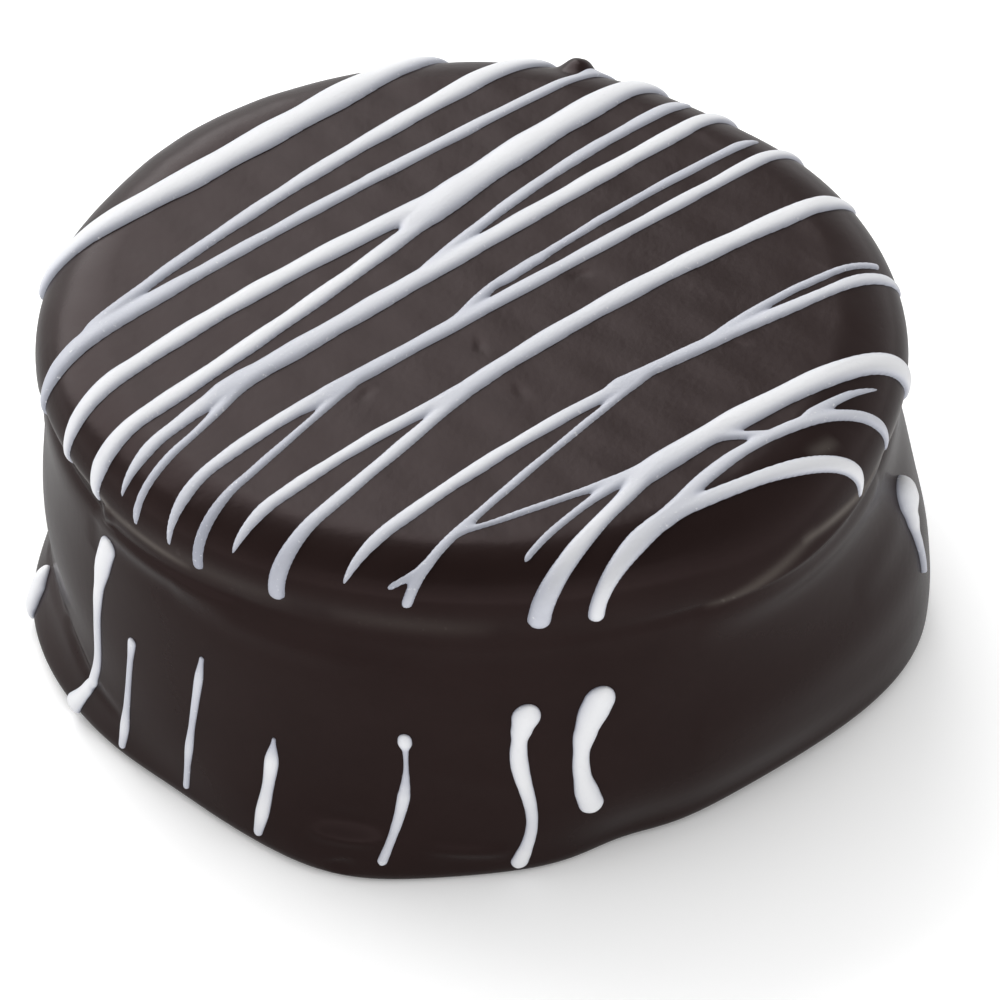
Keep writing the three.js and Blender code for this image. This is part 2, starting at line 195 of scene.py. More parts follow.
CENTRE_SHIFT = np.array([-0.55, 0.04, 0.02])


def settle(radius, angle, height):
    """Adds every swell's push to the radius, and lifts the foot near one angle and between its low spots."""
    out = np.zeros(np.broadcast(radius, angle, height).shape)
    for at, spread, level, tall, push in SWELLS:
        out = out + push * nearness(angle, at, spread) * np.exp(-(((height - level) / tall) ** 2))
    steady = np.clip((radius - STEADY_RADIUS) / (FLAT_RADIUS - STEADY_RADIUS), 0, 1)
    lifted = np.clip((radius - SEAT_RADIUS) / (BASE_RADIUS - SEAT_RADIUS), 0, 1)
    lifted = lifted * np.clip(1 - height / LIFT_TOP, 0, 1)
    between = (1 - np.cos(STANCE_SPOTS * np.radians(angle - STANCE_ANGLE))) / 2
    lift = LIFT * nearness(angle, LIFT_ANGLE, LIFT_SPREAD) + STANCE_RISE * between - STANCE_DIP
    return radius + out * steady, height + lift * lifted


print("swells:", len(SWELLS), "and low spots under the base:", STANCE_SPOTS)

# %% [markdown]
# ## Folds, pits and a lump
#
# Running chocolate leaves marks that are too fine for the CAD solid: a lip under the rim, folds where
# the coat met the tray, and pits from air bubbles. Sculpting would do, but here each fold is a line on
# the unrolled side and each pit a place on the top, and bell curves of the distance from them are added.

# %% Folds: angle and height at both ends, width and push in millimetres
FOLDS = [
    ((189, 24.2), (215, 24.4), 0.9, -0.5),
    ((212, 23.1), (238, 22.6), 1.2, 0.5),
    ((228, 21.6), (262, 20.6), 1.2, 0.3),
    ((214.4, 24.8), (215.0, 22.9), 0.6, 0.3),
    ((211.5, 22.0), (211.0, 19.0), 0.8, -0.12),
    ((302, 23.5), (338, 23.7), 0.7, 0.45),
    ((300, 22.0), (338, 22.4), 2.2, 0.45),
    ((346, 15.4), (330, 14.4), 1.7, 0.15),
    ((300, 10.8), (362, 10.2), 3.2, 0.45),
    ((180, 4.8), (200, 6.1), 0.7, -0.4),
    ((197, 6.1), (209, 4.8), 0.7, -0.35),
    ((207, 4.9), (217, 4.3), 0.6, -0.15),
    ((249, 3.8), (259, 4.0), 0.6, 0.35),
    ((250, 5.4), (259, 5.5), 0.8, -0.2),
    ((264, 3.5), (275, 2.7), 0.6, 0.3),
    ((253, 2.0), (254, 0.8), 1.0, -0.4),
    ((264, 11.2), (276, 9.2), 1.1, 0.12),
    ((24, 23.2), (52, 22.7), 1.2, 0.45),
    ((96, 23.5), (128, 23.3), 0.8, 0.4),
    ((30, 4.4), (48, 5.4), 0.7, -0.35),
    ((88, 3.7), (101, 4.1), 0.6, 0.35),
    ((118, 5.0), (136, 5.9), 0.7, -0.35),
    ((134, 5.9), (147, 4.8), 0.7, -0.3),
    ((150, 12.4), (168, 11.2), 1.8, 0.2),
]
PITS = [(288.2, 11.7), (276.5, 5.7), (235.5, 14.2), (120, 17), (20, 9), (345, 21)]
PIT_DEPTH = 0.07
PIT_SPREAD = 0.45
WAVE = 0.03
WAVE_TURNS = (0.37, 0.52, 0.71)
WAVE_PHASE = 1.0
FADE = 3.0
LUMP_RISE = 1.1
LUMP_ANGLE = 74.5
LUMP_WAY = 32.4
LUMP_SPREAD = 1.4
LUMP_POWER = 3
LUMP_LEAN = np.radians(40.0)


def round_way(angle, at):
    """Distance round the side from one angle to another, in millimetres."""
    return RIM_RADIUS * np.radians((angle - at + 180) % 360 - 180)


def sum_of_lines(lines, angle, level):
    """Sum over lines on the unrolled side of a bell curve of the distance from each, fading at its ends."""
    total = np.zeros(np.broadcast(angle, level).shape)
    for (first_angle, first_level), (last_angle, last_level), wide, strength in lines:
        sideways = round_way(angle, first_angle)
        upward = level - first_level
        run = round_way(last_angle, first_angle)
        climb = last_level - first_level
        share = np.clip((sideways * run + upward * climb) / (run**2 + climb**2), 0, 1)
        apart = np.hypot(sideways - share * run, upward - share * climb)
        total = total + strength * np.sqrt(np.sin(np.pi * share)) * np.exp(-((apart / wide) ** 2))
    return total


def top_dip(x, y):
    """Slow waves of the top, as a product of sines in plan, less a bell curve for each pit."""
    waves = np.sin(WAVE_TURNS[0] * x + WAVE_PHASE) * np.sin(WAVE_TURNS[1] * y)
    dip = WAVE * waves * np.sin(WAVE_TURNS[2] * (x + y))
    for angle, out in PITS:
        apart = np.hypot(x - out * np.cos(np.radians(angle)), y - out * np.sin(np.radians(angle)))
        dip = dip - PIT_DEPTH * np.exp(-((apart / PIT_SPREAD) ** 2))
    return dip


def coat_at(way, angle):
    """Point of the settled coat at a way along the half section and an angle, in millimetres.

    A small lump of chocolate on the rim is a bell curve of the distance from its middle.
    """
    radius, level = on_section(way, angle)
    radius, height = settle(radius, angle, level)
    radius = radius + sum_of_lines(FOLDS, angle, level) * np.clip((BASE_WAY - way) / FADE + 1, 0, 1)
    from_lump = np.hypot(way - LUMP_WAY, round_way(angle, LUMP_ANGLE))
    lump = LUMP_RISE * np.exp(-((from_lump / LUMP_SPREAD) ** LUMP_POWER))
    radius = radius + lump * np.sin(LUMP_LEAN)
    x = radius * np.cos(np.radians(angle))
    y = radius * np.sin(np.radians(angle))
    height = height + lump * np.cos(LUMP_LEAN) + top_dip(x, y) * np.clip((RIM_WAY - way) / FADE, 0, 1)
    return np.stack([x, y, height], axis=-1) + CENTRE_SHIFT


WAY_NUDGE = 0.05
TURN_NUDGE = 0.15
POLE_WAY = 1.0


def coat_normal(way, angle):
    """Outward normal of the settled coat, from small steps along the section and round it."""
    way = np.maximum(way, POLE_WAY)
    down = coat_at(way + WAY_NUDGE, angle) - coat_at(way - WAY_NUDGE, angle)
    turn = coat_at(way, angle + TURN_NUDGE) - coat_at(way, angle - TURN_NUDGE)
    normal = np.cross(down, turn)
    return normal / np.linalg.norm(normal, axis=-1, keepdims=True)


print("folds:", len(FOLDS), "and pits:", len(PITS))

# %% [markdown]
# ## The chocolate coat
#
# The coat is a grid of ways and angles, with rows closest together at the shoulder, the waist and the
# foot, where it bends most. One point at the top's middle and one at the base's middle close it.

# %% Helpers that make a mesh
def make_piece(name, points, faces, material):
    """Puts points, given in millimetres, and faces into a smooth mesh object at the origin."""
    mesh = bpy.data.meshes.new(name)
    mesh.from_pydata((points * MM).tolist(), [], faces)
    mesh.polygons.foreach_set("use_smooth", np.ones(len(mesh.polygons), dtype=bool))
    mesh.materials.append(material)
    mesh.update()
    piece = bpy.data.objects.new(name, mesh)
    bpy.context.scene.collection.objects.link(piece)
    return piece


def declare(piece):
    """The piece stands for the CAD solid and moves with it."""
    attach(piece, "root")
    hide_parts("alfajor")
    triangles = len(piece.data.loops) - 2 * len(piece.data.polygons)
    print(f"{piece.name}: {len(piece.data.vertices)} points, {triangles} triangles")


chocolate = bpy.data.materials.new("chocolate_coat")
icing = bpy.data.materials.new("white_icing")

# %% Coat grid
# Each pale line has an angle and a place on the way at both ends, a width and how pale it is
# The first is a rubbed spot on the shoulder; the rest, along the waist, are a painted highlight on the crease
SCUFFS_AND_HIGHLIGHTS = [
    ((324.5, 31.2), (329.8, 31.9), 0.6, 0.6),
    ((349, 35.8), (331, 37.0), 0.3, 0.9),
    ((334, 37.1), (316, 36.0), 0.35, 1.0),
    ((319, 36.0), (301, 38.2), 0.5, 0.6),
    ((191, 36.1), (216, 36.0), 0.28, 1.0),
    ((212, 36.1), (231, 36.9), 0.35, 0.7),
    ((222, 36.3), (246, 36.4), 1.0, 0.16),
    ((251, 36.6), (273, 36.6), 1.0, 0.16),
    ((28, 36.2), (54, 36.5), 0.3, 0.8),
    ((98, 36.1), (130, 36.2), 0.3, 0.8),
]
COLUMNS = 400
FIRST_RING = 0.7
LAST_RING = 1.0
SHOULDER_ROOM = 2.0
CREASE_REACH = 1.5
LEDGE_REACH = 5.0
LUMP_REACH = 4.0
LUMP_STEP = 0.25
SHOULDER_WAY = FLAT_RADIUS - SHOULDER_ROOM
FOOT_WAY = WAY[np.argmin(np.abs(SECTION_HEIGHT - WALL_BOTTOM) + (WAY < WAIST_WAY) * HEIGHT)]
row_stops = [
    FIRST_RING, SHOULDER_WAY, RIM_WAY, WAIST_WAY - CREASE_REACH, WAIST_WAY + CREASE_REACH,
    WAIST_WAY + LEDGE_REACH, FOOT_WAY, BASE_WAY + LAST_RING, WAY[-1] - LAST_RING,
]
row_counts = [34, 42, 12, 34, 16, 36, 24, 10]
rows = [np.linspace(a, b, n, endpoint=False) for a, b, n in zip(row_stops, row_stops[1:], row_counts)]
coat_ways = np.concatenate(rows + [row_stops[-1:]])
lump_angles = LUMP_ANGLE + np.arange(-LUMP_REACH, LUMP_REACH, LUMP_STEP)
coat_angles = np.unique(np.concatenate([np.arange(COLUMNS) * 360.0 / COLUMNS, lump_angles]))


def closed_grid_faces(row_count, column_count):
    """Quads of a grid that closes round its columns, and triangles to one point past each end row."""
    index = np.arange(row_count * column_count).reshape(row_count, column_count)
    onward = np.roll(index, -1, axis=1)
    quads = np.stack([index[:-1], index[1:], onward[1:], onward[:-1]], axis=-1).reshape(-1, 4)
    first = np.full(column_count, row_count * column_count)
    start = np.stack([first, index[0], onward[0]], axis=-1)
    finish = np.stack([first + 1, onward[-1], index[-1]], axis=-1)
    return quads, np.vstack([start, finish])


grid_way, grid_angle = np.meshgrid(coat_ways, coat_angles, indexing="ij")
coat_points = coat_at(grid_way, grid_angle).reshape(-1, 3)
poles = CENTRE_SHIFT + [[0, 0, HEIGHT], [0, 0, 0]]
coat_quads, coat_fans = closed_grid_faces(len(coat_ways), len(coat_angles))
coat_faces = coat_quads.tolist() + coat_fans.tolist()
coat = make_piece("chocolate_coat", np.vstack([coat_points, poles]), coat_faces, chocolate)
# Painted highlight along the crease, and one rubbed spot on the shoulder, kept as a share at each point
scuff_and_highlight = np.clip(sum_of_lines(SCUFFS_AND_HIGHLIGHTS, grid_angle, grid_way), 0, 1)
scuff_and_highlight = np.concatenate([scuff_and_highlight.ravel(), [0, 0]])
coat.data.attributes.new("scuff_and_highlight", "FLOAT", "POINT").data.foreach_set("value", scuff_and_highlight)
declare(coat)

# %% [markdown]
# ## Runs of icing
#
# The icing fell from a moving nozzle, so each strand lies in an upright plane and is a line in plan.
# Strands that touched flowed together and left webbed forks. A swept tube could make each strand, but
# not the forks. So each run is one field over the coat laid flat: how far inside a strand each point
# lies, with a soft maximum over the run's strands, and a rounded height worked out from that.

# %% Strands of each run, in millimetres
# start and end are places along the piping direction on the top, drops the heights where a strand that
# runs over the rim stops; across is the place sideways at both ends, bow the bend and wide the widths.
# point is the length drawn to a point at each end, and cover how well the icing hides the coat.
PIPING_ANGLE = 40.0
RUNS = [
    [dict(drops=(26, 25.2), across=(27.4, 25.8), bow=-0.4, wide=(2.7, 2.6, 2.3),
          cover=(1, 1, 1, 1, 0.8))],
    [dict(drops=(26, None), end=-24.5, across=(21.2, 16.1), bow=1.5, wide=(2.1, 1.6, 1.2, 0.9),
          cover=(1, 1, 0.8, 0.55, 0.4)),
     dict(drops=(26, 24.4), across=(16.5, 14.8), bow=0.9, wide=(0.8, 1.2, 1.2, 1.9), point=(0, 4),
          cover=(0.6, 0.7, 0.7, 0.6, 0.6, 0.4))],
    [dict(drops=(26, None), end=4.2, across=(13, 10.5), bow=0.6, wide=(2.1, 2.6, 2.9),
          cover=(1, 1, 1, 0.85)),
     dict(drops=(None, 24.2), start=6, across=(11.3, 9.1), bow=1.1, wide=(1.9, 1.7, 1.6), point=(0, 4),
          cover=(0.8, 1, 1, 0.9)),
     dict(drops=(None, 24.1), start=5, across=(10.1, 4.4), bow=-0.4, wide=(1.4, 1.5, 1.6), point=(0, 3.5),
          cover=(0.6, 1, 1, 1, 0.9))],
    [dict(drops=(28.4, None), end=0, across=(8.8, 5.2), bow=1.2, wide=(1.2, 1.1, 0.9), point=(2, 0),
          cover=(0.7, 0.6, 0.6, 0.45)),
     dict(drops=(26, None), end=-21.5, across=(6.1, 3.4), bow=0.15, wide=(1.5, 1.7, 1.9),
          cover=(1, 1, 0.9, 0.75, 0.55)),
     dict(drops=(None, 26.4), start=-19.5, across=(3.9, 1.1), bow=0.1, wide=(1.4, 1.2, 1.1), point=(0, 4.5),
          cover=(0.5, 0.8, 0.8, 0.6)),
     dict(drops=(None, 25.2), start=-19.5, across=(3.3, -0.8), bow=-0.4, wide=(0.8, 0.7, 0.7), point=(0, 1.5),
          cover=(0.45, 0.5, 0.5, 0.4))],
    [dict(drops=(28.8, None), end=3.5, across=(1.2, 0.1), bow=0.7, wide=(0.9, 0.8), point=(2.5, 0),
          cover=(0.6, 0.5, 0.5, 0.45)),
     dict(drops=(None, None), start=7, end=-3, across=(0.5, -1.5), bow=0.6, wide=(0.8, 0.8),
          cover=(0.45, 0.4)),
     dict(drops=(26, None), end=-15.5, across=(-0.9, -1.8), bow=0, wide=(1.2, 1.3, 1.4),
          cover=(1, 0.9, 0.7, 0.6, 0.5)),
     dict(drops=(None, 25), start=-14, across=(-1.9, -4.4), bow=0.8, wide=(1.4, 1.2, 1), point=(0, 5),
          cover=(0.55, 0.9, 0.8, 0.5)),
     dict(drops=(None, 24.8), start=-14, across=(-2.3, -7.2), bow=0, wide=(0.6, 0.7, 0.9),
          cover=(0.4, 0.45, 0.45, 0.4, 0.1))],
    [dict(drops=(26.8, None), end=-9.5, across=(-8.7, -8.4), bow=1.4, wide=(1.9, 1.8, 1.5), point=(4, 0),
          cover=(1, 1, 0.8, 0.6)),
     dict(drops=(None, 27.1), start=-8, across=(-8.1, -10), bow=0.7, wide=(1.2, 1.1, 1.2), point=(0, 4.5),
          cover=(0.6, 0.9, 0.9, 0.6)),
     dict(drops=(None, 24.8), start=-8, across=(-8.5, -13.8), bow=0, wide=(1, 1.1, 1.1, 1.3),
          cover=(0.55, 0.8, 0.8, 0.7, 0.3))],
    [dict(drops=(28.4, None), end=10.5, across=(-16.6, -15.7), bow=1.1, wide=(0.6, 0.9),
          cover=(0.5, 0.5)),
     dict(drops=(25.6, None), end=2, across=(-17.7, -15.2), bow=0.2, wide=(1.1, 1.2, 1.3), point=(3, 0),
          cover=(0.9, 0.8, 0.55, 0.5)),
     dict(drops=(None, 27.2), start=3.5, across=(-15.5, -18.2), bow=1, wide=(1.1, 1.2, 1.1), point=(0, 4.5),
          cover=(0.6, 0.9, 0.9, 0.55)),
     dict(drops=(None, 26.5), start=3, across=(-15.9, -22.3), bow=0.3, wide=(0.6, 0.7, 0.8),
          cover=(0.5, 0.5, 0.55, 0.45)),
     dict(drops=(None, None), start=-22.3, end=-25.1, across=(-21.5, -20.8), bow=-0.1, wide=(0.5, 0.5),
          cover=(0.4, 0.3)),
     dict(drops=(24, None), end=-3.5, across=(-25.5, -24.4), bow=0.8, wide=(2, 2.2, 2.1), point=(2.5, 0),
          cover=(1, 1, 1, 0.7)),
     dict(drops=(None, None), start=-3, end=-18.6, across=(-24, -20.8), bow=-0.1, wide=(0.8, 0.5),
          cover=(0.6, 0.5, 0.4)),
     dict(drops=(None, None), start=-4, end=-16.3, across=(-23.8, -25.8), bow=0.4, wide=(0.9, 0.5),
          cover=(0.6, 0.5, 0.4)),
     dict(drops=(None, 24.6), start=-2.5, across=(-24.3, -28.8), bow=0, wide=(1.4, 1.3, 1.3, 1.3, 1.4, 1.9),
          cover=(0.6, 0.8, 0.9, 0.9, 0.5)),
     dict(drops=(None, None), start=6.2, end=3.4, across=(-26.6, -24.6), bow=0, wide=(0.8, 0.8),
          cover=(0.5, 0.5)),
     dict(drops=(27.6, None), end=10.5, across=(-27.3, -27.1), bow=0.3, wide=(0.5, 0.9), point=(3, 0),
          cover=(0.5, 0.6)),
     dict(drops=(24.2, None), end=-5, across=(-29.5, -29), bow=2.2, wide=(1, 1.1, 1.3), point=(3, 0),
          cover=(0.6, 0.7, 0.6)),
     dict(drops=(24, None), end=-5, across=(-31.7, -29.2), bow=0.4, wide=(1.4, 1.3, 1.1), point=(2.5, 0),
          cover=(1, 0.9, 0.7)),
     dict(drops=(None, 24.6), start=-4, across=(-28.9, -30.8), bow=0.3, wide=(1.5, 1.6, 1.3),
          cover=(0.6, 0.8, 0.9))],
]
BEAD_RISE = 0.1
BEAD_RISE_PER_WIDTH = 0.2
BEAD_SINK = 0.5
BEAD_FULLNESS = 2.4
WEB = 0.4
FAR = 99.0
TIP_PER_WIDTH = 1.0
POINT_POWER = 0.7
UNEVEN = 0.05
UNEVEN_TURN = 0.8
UNEVEN_PHASE = 2.1
FLAT_ROOM = 0.5
LEAST_STRETCH = 0.04
print("strands:", sum(len(run) for run in RUNS))


# %% Field of one strand
def way_at_height(height):
    """The way along the half section, above the waist, that reaches a height."""
    above = (WAY >= FLAT_RADIUS - FLAT_ROOM) & (WAY <= WAIST_WAY)
    return np.interp(-height, -SECTION_HEIGHT[above], WAY[above])


def taper(room, half):
    """Share of the width left past a tip on the top, falling as a root, and the distance past its end."""
    length = TIP_PER_WIDTH * 2 * half
    return np.sqrt(np.clip(1 + room / length, 0, 1)), np.maximum(0, -room - length)


def rim_end(room, half, point):
    """The same for an end over the rim, which is round unless it has a length to draw to a point."""
    if point:
        return np.clip(room / point, 0, 1) ** POINT_POWER, np.maximum(0, -room)
    return 1, np.maximum(0, half - room)


def strand_field(strand, place):
    """How far inside a strand each place is: its half width less the distance from its line.

    The line is across as a straight run plus a bow. A sideways distance in plan is divided by the
    length of its gradient on the tilted coat, which turns it into a distance on the coat. Tips on the
    top taper off, and rounded ends over the rim take the overshoot as the second leg of a triangle.
    """
    rims = [np.sqrt(RIM_RADIUS**2 - across**2) for across in strand["across"]]
    first = strand.get("start", rims[0])
    last = strand.get("end", -rims[1])
    share = (place["along"] - first) / (last - first)
    lean = strand["across"][1] - strand["across"][0]
    line = strand["across"][0] + lean * share + 4 * strand["bow"] * share * (1 - share)
    slope = (lean + 4 * strand["bow"] * (1 - 2 * share)) / (last - first)
    outward = place["sine"] - slope * place["cosine"]
    stretch = 1 + slope**2 - (outward * place["tilt_sine"]) ** 2
    stretch = np.sqrt(np.maximum(stretch, LEAST_STRETCH))
    sideways = (place["across"] - line) / stretch
    half = np.interp(share, np.linspace(0, 1, len(strand["wide"])), strand["wide"]) / 2
    half = half * (1 + UNEVEN * np.sin(UNEVEN_TURN * place["along"] + UNEVEN_PHASE * strand["across"][0]))
    start_drop, end_drop = strand["drops"]
    start_point, end_point = strand.get("point", (0, 0))
    before = place["along"] > 0
    start_share, start_past = taper(first - place["along"], half)
    end_share, end_past = taper(place["along"] - last, half)
    if start_drop:
        room = np.where(before, way_at_height(start_drop) - place["way"], FAR)
        start_share, start_past = rim_end(room, half, start_point)
    if end_drop:
        room = np.where(before, FAR, way_at_height(end_drop) - place["way"])
        end_share, end_past = rim_end(room, half, end_point)
    half = half * np.minimum(start_share, end_share)
    cover = strand.get("cover", (1, 1))
    cover = np.interp(share, np.linspace(0, 1, len(cover)), cover)
    return half - np.hypot(sideways, np.maximum(start_past, end_past)), half, cover


def run_field(run, place):
    """Soft maximum of the strands' fields, and their half widths and cover blended alike.

    The larger of two fields gains the square of how much closer than WEB they are, over 4 times WEB,
    which fills the crotch of a fork and changes nothing elsewhere.
    """
    field, half, cover = strand_field(run[0], place)
    for strand in run[1:]:
        other, other_half, other_cover = strand_field(strand, place)
        blend = np.clip(0.5 + (other - field) / (2 * WEB), 0, 1)
        half = half + (other_half - half) * blend
        cover = cover + (other_cover - cover) * blend
        field = np.maximum(field, other) + np.maximum(WEB - np.abs(field - other), 0) ** 2 / (4 * WEB)
    return field, half, cover


# %% Grid of one run
GRID_STEP = 0.14
EDGE_ROOM = 0.32
EDGE_SLOPE = 1.5
EDGE_DEPTH = 0.3
THIN = 0.1
MARGIN = 3.0
LOW_MARGIN = 12.0
SPREAD = 1.25
FIELD_PASSES = 3
HALF_PASSES = 40
CORNER_PASSES = 6
TINY = 1e-6


def run_place(along, across):
    """Where each point of the coat laid flat is on the turned form, seen along the piping direction."""
    way = np.hypot(along, across)
    bearing = np.arctan2(across, along)
    radius = np.interp(way, WAY, SECTION_RADIUS)
    fall = np.gradient(SECTION_HEIGHT, SECTION_STEP)
    return {
        "way": way,
        "angle": np.degrees(bearing) + PIPING_ANGLE,
        "sine": np.sin(bearing),
        "cosine": np.cos(bearing),
        "along": radius * np.cos(bearing),
        "across": radius * np.sin(bearing),
        "tilt_sine": np.interp(way, WAY, np.clip(-fall, 0, 1)),
    }


def without_corner_touches(cells):
    """Fills cells until no two of them touch only at a corner."""
    for _ in range(CORNER_PASSES):
        a, b, c, d = cells[:-1, :-1], cells[1:, 1:], cells[1:, :-1], cells[:-1, 1:]
        pinch = (a & b & ~c & ~d) | (c & d & ~a & ~b)
        cells[1:, :-1] |= pinch
        cells[:-1, 1:] |= pinch & ~cells[1:, :-1]
        cells[:-1, :-1] |= pinch
    return cells


def shell_faces(cells):
    """Faces of a closed shell over the chosen cells: a top, an underside and a wall round the edge."""
    used = np.zeros((cells.shape[0] + 1, cells.shape[1] + 1), dtype=bool)
    for i in (0, 1):
        for j in (0, 1):
            used[i : used.shape[0] - 1 + i, j : used.shape[1] - 1 + j] |= cells
    number = np.cumsum(used.ravel()).reshape(used.shape) - 1
    count = used.sum()
    a, b, c, d = number[:-1, :-1], number[1:, :-1], number[1:, 1:], number[:-1, 1:]
    top = np.stack([a, b, c, d], axis=-1)[cells]
    padded = np.pad(cells, 1)
    sides = [
        (a, d, cells & ~padded[:-2, 1:-1]),
        (c, b, cells & ~padded[2:, 1:-1]),
        (b, a, cells & ~padded[1:-1, :-2]),
        (d, c, cells & ~padded[1:-1, 2:]),
    ]
    walls = [np.stack([p[edge], q[edge], q[edge] + count, p[edge] + count], axis=-1) for p, q, edge in sides]
    return used, np.vstack([top, top[:, ::-1] + count] + walls)


def softened(values, passes):
    """Repeats a mean of each value and its neighbours, with weights 1, 2 and 1, in both directions."""
    for _ in range(passes):
        padded = np.pad(values, 1, mode="edge")
        rows_mean = (padded[:-2] + 2 * padded[1:-1] + padded[2:]) / 4
        values = (rows_mean[:, :-2] + 2 * rows_mean[:, 1:-1] + rows_mean[:, 2:]) / 4
    return values


def make_run(name, run):
    """One closed shell of icing: the coat's points raised by the rounded field along its normals."""
    reach = np.arange(-WAIST_WAY, WAIST_WAY, GRID_STEP)
    low = min(min(strand["across"]) for strand in run) - LOW_MARGIN
    high = max(max(strand["across"]) for strand in run) + MARGIN
    sideways = reach[(reach > min(low, low * SPREAD)) & (reach < max(high, high * SPREAD))]
    along, across = np.meshgrid(reach, sideways, indexing="ij")
    place = run_place(along, across)
    field, half, cover = run_field(run, place)
    field = softened(field, FIELD_PASSES)
    within = (field > -EDGE_ROOM).astype(float)
    room = np.maximum(softened(within, HALF_PASSES), TINY)
    half = softened(half * within, HALF_PASSES) / room
    cover = softened(cover * within, HALF_PASSES) / room
    inside = (field > -EDGE_ROOM) & (place["way"] < WAIST_WAY)
    cells = inside[:-1, :-1] & inside[1:, :-1] & inside[1:, 1:] & inside[:-1, 1:]
    used, faces = shell_faces(without_corner_touches(cells))
    field, half = field[used], half[used]
    way, angle = place["way"][used], place["angle"][used]
    rise = BEAD_RISE + BEAD_RISE_PER_WIDTH * 2 * half
    inset = np.clip(1 - field / np.maximum(half, THIN), 0, 1)
    round_share = np.sqrt(1 - inset**BEAD_FULLNESS)
    height = np.where(field > 0, rise * round_share, np.maximum(EDGE_SLOPE * field, -EDGE_DEPTH))
    surface, normal = coat_at(way, angle), coat_normal(way, angle)
    points = np.vstack([surface + normal * height[:, None], surface - normal * BEAD_SINK])
    piece = make_piece(name, points, faces.tolist(), icing)
    # Thin icing is greyer; falling with the bead's height, this also paints shade on the sloping sides of
    # each bead
    cover = cover[used] * round_share
    piece.data.attributes.new("cover", "FLOAT", "POINT").data.foreach_set("value", np.tile(cover, 2))
    declare(piece)
    return piece


icing_runs = [make_run(f"icing_run_{i + 1}", run) for i, run in enumerate(RUNS)]

# %% [markdown]
# ## Drips on the lower biscuit
#
# Where strands fell past the rim, they landed again on the wall and ran down. Each drip is a rounded
# profile carried down its own path on the coat, with widths that swell into drops at the ends.

# %% Drips: angles, heights, bow and sway in degrees and widths from top to bottom
# swollen, where a drip has it, multiplies how far it stands out from the wall.
DRIPS = [
    dict(angle=(184.2, 186.8), height=(4.5, 0.5), bow=-0.6, sway=0,
         wide=(1.6, 2.6, 2.4, 1.8), swollen=1.15),
    dict(angle=(215.2, 205), height=(21.6, 0.3), bow=1.4, sway=-1.2,
         wide=(1.9, 1.9, 1.2, 0.9, 0.9, 1, 1.2, 1.9)),
    dict(angle=(220, 216.8), height=(13.8, 1.2), bow=0, sway=0, wide=(0.9, 0.6, 0.6, 0.7, 1, 0.7)),
    dict(angle=(232.9, 229), height=(16.5, 1.6), bow=0, sway=0, wide=(0.4, 0.8, 0.7, 0.6, 0.8, 0.6, 0.6)),
    dict(angle=(243.8, 241.6), height=(11.4, 1.4), bow=0.2, sway=0, wide=(0.3, 1.2, 1, 1.2, 0.8)),
    dict(angle=(261.4, 258.6), height=(14.5, 2), bow=1.3, sway=0,
         wide=(1, 1.1, 0.45, 0.38, 0.42, 0.6, 0.8, 1, 0.95, 0.85, 0.8, 0.7, 0.7, 0.75, 0.8)),
    dict(angle=(277.6, 275.9), height=(17.5, 0.9), bow=0.2, sway=-1.3,
         wide=(2, 2.2, 1.7, 1.25, 1.35, 1.4, 1.3, 1.15, 1.05, 0.95, 0.9, 0.95, 1.05, 1.3, 1.5)),
    dict(angle=(287.4, 286.1), height=(18.2, 5.8), bow=-2.6, sway=0, wide=(2.5, 2.5, 1.9, 1.3, 1.4, 1.9, 2)),
    dict(angle=(347.4, 347.6), height=(17.8, 8.6), bow=0, sway=0,
         wide=(2.4, 2.6, 1.5, 0.8, 0.6, 0.5), swollen=2),
    dict(angle=(18, 21), height=(20.5, 8), bow=0.8, sway=0, wide=(1.6, 1, 0.7)),
    dict(angle=(37, 39.5), height=(15, 3), bow=0, sway=0.8, wide=(0.7, 1.1, 0.8)),
    dict(angle=(52, 54), height=(18, 6.5), bow=-0.8, sway=0, wide=(1.9, 1.2, 1.5)),
    dict(angle=(73, 75), height=(13, 1.8), bow=0.5, sway=0, wide=(0.6, 0.9, 0.6)),
]
DRIP_ROWS = 72
DRIP_COLUMNS = 24
FULL_COVER_WIDTH = 1.2


def smooth_widths(share, widths):
    """Widths spaced evenly along a drip, with an ease in and out between each two."""
    span = share * (len(widths) - 1)
    index = np.minimum(span.astype(int), len(widths) - 2)
    step = span - index
    widths = np.array(widths)
    return widths[index] + (widths[index + 1] - widths[index]) * step**2 * (3 - 2 * step)


